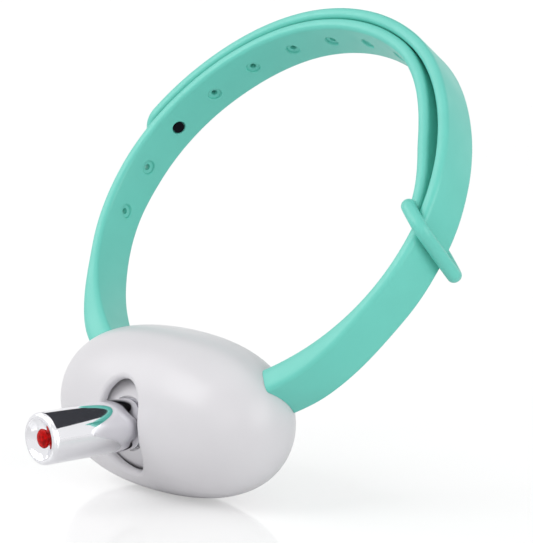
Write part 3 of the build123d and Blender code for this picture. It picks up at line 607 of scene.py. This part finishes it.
def finish(name, light, dark, smooth, rough, drift=80.0, grain=2500.0, strength=0.1,
           stretch=(1, 1, 1), **sockets):
    """Material with drifting colour and roughness and a fine grain; sockets are set on its shader."""
    material = bpy.data.materials.get(name)
    if material:
        return material
    material = bpy.data.materials.new(name)
    material.use_nodes = True
    nodes, links = material.node_tree.nodes, material.node_tree.links
    shader = nodes["Principled BSDF"]
    for label, value in sockets.items():
        shader.inputs[label.replace("_", " ")].default_value = value
    place = nodes.new("ShaderNodeTexCoord")
    mapping = nodes.new("ShaderNodeMapping")
    mapping.inputs["Scale"].default_value = stretch
    drifting = nodes.new("ShaderNodeGroup")
    drifting.node_tree = drift_group()
    drifting.inputs["Scale"].default_value = drift
    drifting.inputs["Light"].default_value = (*light, 1)
    drifting.inputs["Dark"].default_value = (*dark, 1)
    drifting.inputs["Smooth"].default_value = smooth
    drifting.inputs["Rough"].default_value = rough
    texture = nodes.new("ShaderNodeGroup")
    texture.node_tree = grain_group()
    texture.inputs["Scale"].default_value = grain
    texture.inputs["Strength"].default_value = strength
    links.new(place.outputs["Object"], mapping.inputs["Vector"])
    links.new(place.outputs["Object"], drifting.inputs["Vector"])
    links.new(mapping.outputs["Vector"], texture.inputs["Vector"])
    links.new(drifting.outputs["Color"], shader.inputs["Base Color"])
    links.new(drifting.outputs["Roughness"], shader.inputs["Roughness"])
    links.new(texture.outputs["Normal"], shader.inputs["Normal"])
    return material


def shade(colour, factor):
    """A colour made lighter or darker."""
    return tuple(min(1.0, channel * factor) for channel in colour)


def toy_finish(slot):
    """The finish of a material slot, under a name that the loaded frame's own materials don't have."""
    colours = bpy.context.scene.laser_toy_colours
    shell, mint, plating = colours.shell, colours.silicone, colours.plating
    snap, lens = colours.snap, colours.lens
    looks = {
        "white_shell": (shell, shade(shell, 0.985), 0.28, 0.33,
                        dict(strength=0.06, Specular_IOR_Level=0.4)),
        "white_button": (shell, shade(shell, 0.97), 0.34, 0.42, dict(strength=0.08)),
        "white_inner": (shade(shell, 0.96), shade(shell, 0.93), 0.42, 0.5, dict(strength=0.1)),
        "white_gear": ((0.84, 0.84, 0.80), (0.78, 0.78, 0.74), 0.4, 0.5, dict(strength=0.1)),
        "mint_silicone": (mint, shade(mint, 0.97), 0.34, 0.42,
                          dict(drift=120.0, strength=0.05, Specular_IOR_Level=0.5)),
        "black_snap": (snap, shade(snap, 1.4), 0.4, 0.5,
                       dict(strength=0.08, Specular_IOR_Level=0.05)),
        "steel_screw": ((0.60, 0.60, 0.62), (0.50, 0.50, 0.52), 0.22, 0.38,
                        dict(drift=900.0, stretch=(1, 0.1, 1), strength=0.25, Metallic=1.0)),
        "steel_bracket": ((0.62, 0.62, 0.64), (0.52, 0.52, 0.54), 0.25, 0.4,
                          dict(drift=500.0, stretch=(0.08, 1, 1), strength=0.3, Metallic=1.0)),
        "chrome_tube": (plating, shade(plating, 0.97), 0.035, 0.07,
                        dict(drift=160.0, grain=900.0, strength=0.012, Metallic=1.0)),
        "red_lens": (lens, shade(lens, 0.4), 0.1, 0.16,
                     dict(drift=1400.0, strength=0.02, Specular_IOR_Level=0.08)),
        "brass_module": ((0.72, 0.53, 0.23), (0.60, 0.42, 0.17), 0.22, 0.36,
                         dict(drift=300.0, stretch=(1, 0.1, 1), strength=0.2, Metallic=1.0)),
        "brass_pinion": ((0.76, 0.57, 0.26), (0.64, 0.46, 0.19), 0.2, 0.32,
                         dict(drift=700.0, stretch=(0.1, 1, 1), strength=0.2, Metallic=1.0)),
        "steel_motor": ((0.62, 0.62, 0.65), (0.54, 0.54, 0.57), 0.2, 0.34,
                        dict(drift=400.0, stretch=(0.1, 1, 1), strength=0.2, Metallic=1.0)),
        "cell_wrap": ((0.50, 0.53, 0.57), (0.44, 0.47, 0.51), 0.28, 0.4,
                      dict(drift=150.0, strength=0.2, Metallic=0.6)),
        "green_board": ((0.02, 0.16, 0.07), (0.015, 0.11, 0.05), 0.3, 0.42,
                        dict(drift=900.0, strength=0.15)),
        "black_chip": ((0.02, 0.02, 0.022), (0.03, 0.03, 0.03), 0.5, 0.65, dict(strength=0.3)),
        "steel_socket": ((0.62, 0.62, 0.64), (0.54, 0.54, 0.56), 0.18, 0.3,
                         dict(drift=500.0, strength=0.1, Metallic=1.0)),
    }
    light, dark, smooth, rough, options = looks[slot]
    return finish(slot + "_finish", light, dark, smooth, rough, **options)


# Operators

class TOY_OT_cad_finishes(Operator):
    """Give every piece of the mechanism and the housing its finish"""
    bl_idname = "laser_toy.cad_finishes"
    bl_label = "Finish Mechanism"

    def execute(self, context):
        slots = {part["node"]: part["material_slot"] for part in frame["record"]["subparts"]}
        for name, node in frame["nodes"].items():
            node.data.materials.clear()
            node.data.materials.append(toy_finish(slots[name]))
        return {"FINISHED"}


class TOY_OT_strap_outer(Operator):
    """Model the outer band with its rounded tip and the boss of the snap"""
    bl_idname = "laser_toy.strap_outer"
    bl_label = "Outer Band"

    def execute(self, context):
        sizes = context.scene.laser_toy_strap
        course = Course(sizes)
        egg = Egg(context.scene.laser_toy_housing, -ROOT_CLEARANCE)
        tip = course.angle_after(course.outer, STUD_ANGLE, TIP_REACH)
        root = course.angle_after(course.outer, course.root(course.outer, 1, egg), -ROOT_SINK)
        obj = band(course, course.outer, root, tip, sizes, round_tip=True)
        combine(obj, to_object("egg_tool", egg.mesh()), "DIFFERENCE")
        face = 2 * course.thin + course.gap
        boss = spun([(0, -BOSS_SINK), (BOSS_RADIUS, -BOSS_SINK), (BOSS_RADIUS, BOSS_HEIGHT),
                     (CAP_SEAT_RADIUS, BOSS_HEIGHT), (CAP_SEAT_RADIUS, CAP_SEAT_HEIGHT),
                     (0, CAP_SEAT_HEIGHT)], BOSS_ROUNDINGS)
        boss.transform(course.place(course.inner, STUD_ANGLE, face))
        combine(obj, to_object("boss_tool", boss), "UNION")
        add_tongue(obj, course.tongue_place(course.outer, 1, egg))
        finish_piece(obj, "housing", "mint_silicone")
        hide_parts("strap_outer")
        return {"FINISHED"}


class TOY_OT_strap_inner(Operator):
    """Model the inner band with its size holes and the keeper ring"""
    bl_idname = "laser_toy.strap_inner"
    bl_label = "Inner Band"

    def execute(self, context):
        sizes = context.scene.laser_toy_strap
        course = Course(sizes)
        egg = Egg(context.scene.laser_toy_housing, -ROOT_CLEARANCE)
        overrun = course.thin * RING_FALL_OUT + course.width / 2 * RING_RISE_FRONT
        end = course.angle_after(course.inner, RING_ANGLE, -overrun)
        root = course.angle_after(course.inner, course.root(course.inner, -1, egg), ROOT_SINK)
        obj = band(course, course.inner, end, root, sizes)
        combine(obj, to_object("egg_tool", egg.mesh()), "DIFFERENCE")
        cut = bmesh.new()
        bmesh.ops.create_cube(cut, size=END_CUTTER_SIZE)
        below = Matrix.Translation((0, 0, -END_CUTTER_SIZE / 2))
        cut.transform(ring_frame(course, 0, 0, Vector((1, 0, 0))) @ below)
        combine(obj, to_object("end_tool", cut), "DIFFERENCE")
        combine(obj, to_object("ring_tool", keeper_ring(course, sizes)), "UNION")
        add_tongue(obj, course.tongue_place(course.inner, -1, egg))
        combine(obj, to_object("holes_tool", size_holes(course, sizes)), "DIFFERENCE")
        finish_piece(obj, "housing", "mint_silicone")
        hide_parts("strap_inner")
        return {"FINISHED"}


def size_holes(course, sizes):
    """Cutters of the row of size holes, each with its counterbore on the neck side."""
    pitch, thin = sizes.hole_pitch * MM, course.thin
    first = course.angle_after(course.inner, STUD_ANGLE, HOLES_BEFORE_STUD * pitch)
    holes = bmesh.new()
    for index in range(sizes.hole_count):
        angle = course.angle_after(course.inner, first, -index * pitch) if index else first
        hole = spun([(0, -CUT_OVERRUN), (MOUTH_RADIUS, -CUT_OVERRUN), (MOUTH_RADIUS, MOUTH_START),
                     (COUNTERBORE_RADIUS, MOUTH_END), (COUNTERBORE_RADIUS, COUNTERBORE_DEPTH),
                     (HOLE_RADIUS, COUNTERBORE_DEPTH), (HOLE_RADIUS, thin - HOLE_EXIT_START),
                     (HOLE_EXIT_RADIUS, thin + HOLE_EXIT_RISE), (HOLE_EXIT_RADIUS, thin + CUT_OVERRUN),
                     (0, thin + CUT_OVERRUN)], HOLE_ROUNDINGS, steps=HOLE_STEPS)
        hole.transform(course.place(course.inner, angle))
        mesh = bpy.data.meshes.new("hole")
        hole.to_mesh(mesh)
        hole.free()
        holes.from_mesh(mesh)
        bpy.data.meshes.remove(mesh)
    return holes


def band(course, radius_at, start, end, sizes, round_tip=False):
    """One strap band over a range of angles."""
    count = round(abs(end - start) / COURSE_STEP)
    angles = [start + (end - start) * i / count for i in range(count + 1)]
    half = course.width / 2
    bm = bmesh.new()
    ring = rounded_section(bm, course.width, course.thin, sizes.edge_radius * MM)
    if round_tip:
        here = course.angle_after(radius_at, end, -half)
        angles = [angle for angle in angles if angle < here]
        angles += [here + (end - here) * math.sin(math.pi / 2 * i / TIP_STEPS)
                   for i in range(TIP_STEPS + 1)]
    places = []
    for angle in angles:
        grown = course.thickness(angle) / course.thin
        spread = 1.0
        if round_tip and angle > here:
            share = min((angle - here) / (end - here), TIP_LAST_SHARE)
            spread = math.sqrt(1 - share * share)
        places.append(course.place(radius_at, angle) @ Matrix.Diagonal((spread, 1, grown, 1)))
    bmesh.ops.transform(bm, matrix=places[0], verts=bm.verts)
    sweep(bm, ring, places)
    return to_object("strap_inner_silicone" if radius_at == course.inner else "strap_outer_silicone", bm)


def ring_frame(course, outward, forward, side):
    """Place on the keeper ring's slanted plane: X to a given side, Z up along the strap."""
    spot = course.point(course.inner, RING_ANGLE, course.thin / 2)[0]
    rise = RING_RISE - RING_FALL_OUT * outward + RING_RISE_FRONT * forward
    normal = Vector((RING_FALL_OUT, 1, -RING_RISE_FRONT)).normalized()
    side = (side - side.dot(normal) * normal).normalized()
    matrix = Matrix((side, normal.cross(side), normal)).transposed().to_4x4()
    matrix.translation = spot + Vector((outward, rise, forward))
    return course.plane @ matrix


def keeper_ring(course, sizes):
    """Oval cord bent into a slanted loop round the outer band, snug in front and slack behind."""
    thick = sizes.ring_thickness * MM
    inward = -RING_SET_IN
    outer = course.outer(RING_ANGLE) - course.inner(RING_ANGLE) + course.thin / 2 + RING_SNUG + thick
    front = course.width / 2 + RING_SNUG + thick
    back = -front - RING_SLACK
    near, far = inward + RING_CORNER, outer - RING_CORNER
    fore, aft = front - RING_CORNER, back + RING_CORNER
    places = []
    for quarter, (outward, forward) in enumerate(((far, fore), (near, fore), (near, aft), (far, aft))):
        for i in range(RING_CORNER_STEPS + 1):
            turn = math.pi / 2 * (quarter + i / RING_CORNER_STEPS)
            way = Vector((math.cos(turn), 0, math.sin(turn)))
            spot = (outward + RING_CORNER * way.x, forward + RING_CORNER * way.z)
            places.append(ring_frame(course, *spot, way))
    bm = bmesh.new()
    bmesh.ops.create_circle(bm, segments=RING_SEGMENTS, radius=1.0)
    ring = bm.edges[:]
    bmesh.ops.rotate(bm, verts=bm.verts, matrix=Matrix.Rotation(math.pi / 2, 3, "X"))
    bmesh.ops.scale(bm, vec=(thick, 1, sizes.ring_width * MM), verts=bm.verts)
    bmesh.ops.transform(bm, matrix=places[0], verts=bm.verts)
    sweep(bm, ring, places, closed=True)
    return bm


def add_tongue(obj, place):
    """Adds the flat tongue that holds a band in the housing's wall, with its anchor bar."""
    flat = bmesh.new()
    bmesh.ops.create_cube(flat, size=1.0)
    size = (TONGUE_SINK + ANCHOR_DEPTH, TONGUE_THICKNESS, TONGUE_WIDTH)
    bmesh.ops.scale(flat, vec=size, verts=flat.verts)
    bmesh.ops.bevel(flat, geom=flat.edges[:], offset=TONGUE_ROUNDING, segments=2, profile=0.5,
                    affect="EDGES", material=-1)
    flat.transform(place @ Matrix.Translation(((ANCHOR_DEPTH - TONGUE_SINK) / 2, 0, 0)))
    combine(obj, to_object("tongue_tool", flat), "UNION")
    half = ANCHOR_LENGTH / 2
    bar = spun([(0, -half), (ANCHOR_RADIUS, -half), (ANCHOR_RADIUS, half), (0, half)],
               ANCHOR_ROUNDINGS, steps=32)
    bar.transform(place @ Matrix.Translation((ANCHOR_DEPTH, 0, 0)))
    combine(obj, to_object("anchor_tool", bar), "UNION")


class TOY_OT_barrel(Operator):
    """Turn the plated barrel with its rounded rim and dished face, and the red lens"""
    bl_idname = "laser_toy.barrel"
    bl_label = "Barrel and Lens"

    def execute(self, context):
        sizes = context.scene.laser_toy_laser
        radius, reach, tail = sizes.radius * MM, sizes.reach * MM, sizes.tail * MM
        wall, rim, dish = sizes.wall * MM, sizes.rim * MM, sizes.dish * MM
        lens, floor = sizes.lens * MM, reach - sizes.dish_depth * MM
        inner = radius - wall
        forward = Matrix.Translation((0, 0, -PIVOT_DROP * MM)) @ Matrix.Rotation(math.pi / 2, 4, "X")
        points = [(inner, tail), (radius, tail), (radius, reach), (dish, reach)]
        middle = Vector(((dish + lens) / 2, reach - (reach - floor) / 2 - DISH_HOLLOW))
        for i in range(1, DISH_STEPS):
            share = i / DISH_STEPS
            spot = (Vector((dish, reach)) * (1 - share) ** 2 + 2 * share * (1 - share) * middle
                    + Vector((lens, floor)) * share ** 2)
            points.append((spot.x, spot.y))
        bottom = floor - LENS_THICKNESS
        points += [(lens, floor), (lens, bottom), (inner, bottom)]
        roundings = {1: TAIL_ROUNDING, 2: (rim, RIM_SEGMENTS), 3: DISH_EDGE_ROUNDING}
        bm = spun(points, roundings, steps=BARREL_STEPS, closed=True)
        bm.transform(forward)
        tube = to_object("laser_barrel_plated", bm)
        finish_piece(tube, "laser_head", "chrome_tube", sharp=40)
        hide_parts("laser_barrel")
        edge = lens - LENS_CLEARANCE
        dome = []
        for i in range(DOME_STEPS + 1):
            turn = math.pi / 2 * i / DOME_STEPS
            dome.append((edge * math.cos(turn), floor + LENS_LIFT + LENS_DOME * math.sin(turn)))
        glass = spun([(0, bottom), (edge, bottom)] + dome, {})
        glass.transform(forward)
        drop = to_object("laser_lens_glass", glass)
        finish_piece(drop, "laser_head", "red_lens")
        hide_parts("laser_lens")
        return {"FINISHED"}


class TOY_OT_stage(Operator):
    """Set up the floor, the soft lights, the white surroundings and the camera"""
    bl_idname = "laser_toy.stage"
    bl_label = "Stage"

    def execute(self, context):
        scene = context.scene
        scene.view_settings.view_transform = "Standard"
        stage_floor()
        stage_card()
        stage_world(scene)
        stage_lights()
        stage_camera(scene)
        return {"FINISHED"}


def stage_floor():
    """Pale glossy floor that the camera sees nearly white, with its shadow and reflection."""
    bm = bmesh.new()
    bmesh.ops.create_grid(bm, x_segments=1, y_segments=1, size=FLOOR_HALF_SIZE)
    floor = to_object("floor", bm)
    material = bpy.data.materials.new("floor_pale")
    material.use_nodes = True
    nodes, links = material.node_tree.nodes, material.node_tree.links
    shader = nodes["Principled BSDF"]
    shader.inputs["Base Color"].default_value = (0.9, 0.9, 0.9, 1)
    shader.inputs["Roughness"].default_value = 0.08
    shader.inputs["Specular IOR Level"].default_value = 0.5
    glow = nodes.new("ShaderNodeEmission")
    glow.inputs["Color"].default_value = (1, 1, 1, 1)
    glow.inputs["Strength"].default_value = FLOOR_GLOW
    path = nodes.new("ShaderNodeLightPath")
    seen = nodes.new("ShaderNodeMath")
    seen.operation = "MULTIPLY"
    seen.inputs[1].default_value = FLOOR_GLOW_SHARE
    mix = nodes.new("ShaderNodeMixShader")
    links.new(path.outputs["Is Camera Ray"], seen.inputs[0])
    links.new(seen.outputs[0], mix.inputs[0])
    links.new(shader.outputs[0], mix.inputs[1])
    links.new(glow.outputs[0], mix.inputs[2])
    links.new(mix.outputs[0], nodes["Material Output"].inputs["Surface"])
    floor.data.materials.append(material)


def stage_card():
    """Dark studio card high behind the toy, which only shows in the plating's reflections."""
    bm = bmesh.new()
    bmesh.ops.create_grid(bm, x_segments=1, y_segments=1, size=0.5)
    bmesh.ops.scale(bm, vec=CARD_SIZE, verts=bm.verts)
    card = to_object("dark_card", bm)
    stand = Matrix.Rotation(CARD_TILT, 4, "Y") @ Matrix.Rotation(math.pi / 2, 4, "X")
    card.data.transform(Matrix.Translation(CENTRE + CARD_PLACE) @ stand)
    material = bpy.data.materials.new("card_dark")
    material.use_nodes = True
    shader = material.node_tree.nodes["Principled BSDF"]
    shader.inputs["Base Color"].default_value = (0.02, 0.021, 0.028, 1)
    shader.inputs["Roughness"].default_value = 0.9
    card.data.materials.append(material)
    card.visible_camera = False
    card.visible_shadow = False
    card.visible_diffuse = False


def stage_world(scene):
    """White surroundings for the camera and for reflections, softer light for the rest."""
    world = bpy.data.worlds.new("studio")
    scene.world = world
    world.use_nodes = True
    nodes, links = world.node_tree.nodes, world.node_tree.links
    soft = nodes["Background"]
    soft.inputs["Color"].default_value = (1.0, 0.99, 0.99, 1)
    soft.inputs["Strength"].default_value = SOFT_WORLD
    white = nodes.new("ShaderNodeBackground")
    white.inputs["Color"].default_value = (1, 1, 1, 1)
    white.inputs["Strength"].default_value = WHITE_WORLD
    path = nodes.new("ShaderNodeLightPath")
    either = nodes.new("ShaderNodeMath")
    either.operation = "ADD"
    all_three = nodes.new("ShaderNodeMath")
    all_three.operation = "ADD"
    all_three.use_clamp = True
    mix = nodes.new("ShaderNodeMixShader")
    links.new(path.outputs["Is Camera Ray"], either.inputs[0])
    links.new(path.outputs["Is Glossy Ray"], either.inputs[1])
    links.new(either.outputs[0], all_three.inputs[0])
    links.new(path.outputs["Is Transmission Ray"], all_three.inputs[1])
    links.new(all_three.outputs[0], mix.inputs[0])
    links.new(soft.outputs[0], mix.inputs[1])
    links.new(white.outputs[0], mix.inputs[2])
    links.new(mix.outputs[0], nodes["World Output"].inputs["Surface"])


def soft_light(name, direction, distance, size, power):
    """Square soft light that looks at the toy."""
    light = bpy.data.lights.new(name, "AREA")
    light.shape = "SQUARE"
    light.size = size
    light.energy = power
    obj = bpy.data.objects.new(name, light)
    way = direction.normalized()
    obj.location = CENTRE + LIGHT_AIM + way * distance
    obj.rotation_euler = way.to_track_quat("Z", "Y").to_euler()
    bpy.context.scene.collection.objects.link(obj)


def stage_lights():
    """Key and side lights from the left, a fill from the right, a weak front light and a top light."""
    for name, (right, back, above), distance, size, power in LIGHTS:
        soft_light(name, right * RIGHT + back * BACK + above * ABOVE, distance, size, power)


def stage_camera(scene):
    """Camera at the photograph's angle and distance."""
    data = bpy.data.cameras.new("camera")
    data.lens = CAMERA_LENS
    data.sensor_width = 36.0
    data.clip_start = 0.01
    data.clip_end = 50.0
    camera = bpy.data.objects.new("camera", data)
    matrix = Matrix((RIGHT, UP, BACK)).transposed().to_4x4()
    matrix.translation = CENTRE + (BACK * CAMERA_BACK_MM + RIGHT * CAMERA_RIGHT_MM + UP * CAMERA_UP_MM) / MM
    camera.matrix_world = matrix
    scene.collection.objects.link(camera)
    scene.camera = camera


class TOY_PT_panel(Panel):
    """Sizes, colours and steps of the toy"""
    bl_idname = "TOY_PT_panel"
    bl_label = "Laser Toy"
    bl_space_type = "VIEW_3D"
    bl_region_type = "UI"
    bl_category = "Laser Toy"

    def draw(self, context):
        layout = self.layout
        for group in (context.scene.laser_toy_housing, context.scene.laser_toy_strap,
                      context.scene.laser_toy_laser, context.scene.laser_toy_colours):
            box = layout.box()
            for name in group.__annotations__:
                box.prop(group, name)
        for operator in OPERATORS:
            layout.operator(operator.bl_idname)


OPERATORS = (TOY_OT_cad_finishes, TOY_OT_strap_outer, TOY_OT_strap_inner, TOY_OT_barrel, TOY_OT_stage)
GROUPS = (HousingSizes, StrapSizes, LaserSizes, ToyColours)


def register():
    for item in GROUPS + OPERATORS + (TOY_PT_panel,):
        bpy.utils.register_class(item)
    bpy.types.Scene.laser_toy_housing = PointerProperty(type=HousingSizes)
    bpy.types.Scene.laser_toy_strap = PointerProperty(type=StrapSizes)
    bpy.types.Scene.laser_toy_laser = PointerProperty(type=LaserSizes)
    bpy.types.Scene.laser_toy_colours = PointerProperty(type=ToyColours)


def unregister():
    del bpy.types.Scene.laser_toy_colours
    del bpy.types.Scene.laser_toy_laser
    del bpy.types.Scene.laser_toy_strap
    del bpy.types.Scene.laser_toy_housing
    for item in (TOY_PT_panel,) + OPERATORS[::-1] + GROUPS[::-1]:
        bpy.utils.unregister_class(item)


def main():
    register()
    bpy.ops.laser_toy.cad_finishes()
    bpy.ops.laser_toy.strap_outer()
    bpy.ops.laser_toy.strap_inner()
    bpy.ops.laser_toy.barrel()
    bpy.ops.laser_toy.stage()


if __name__ == "__main__":
    main()
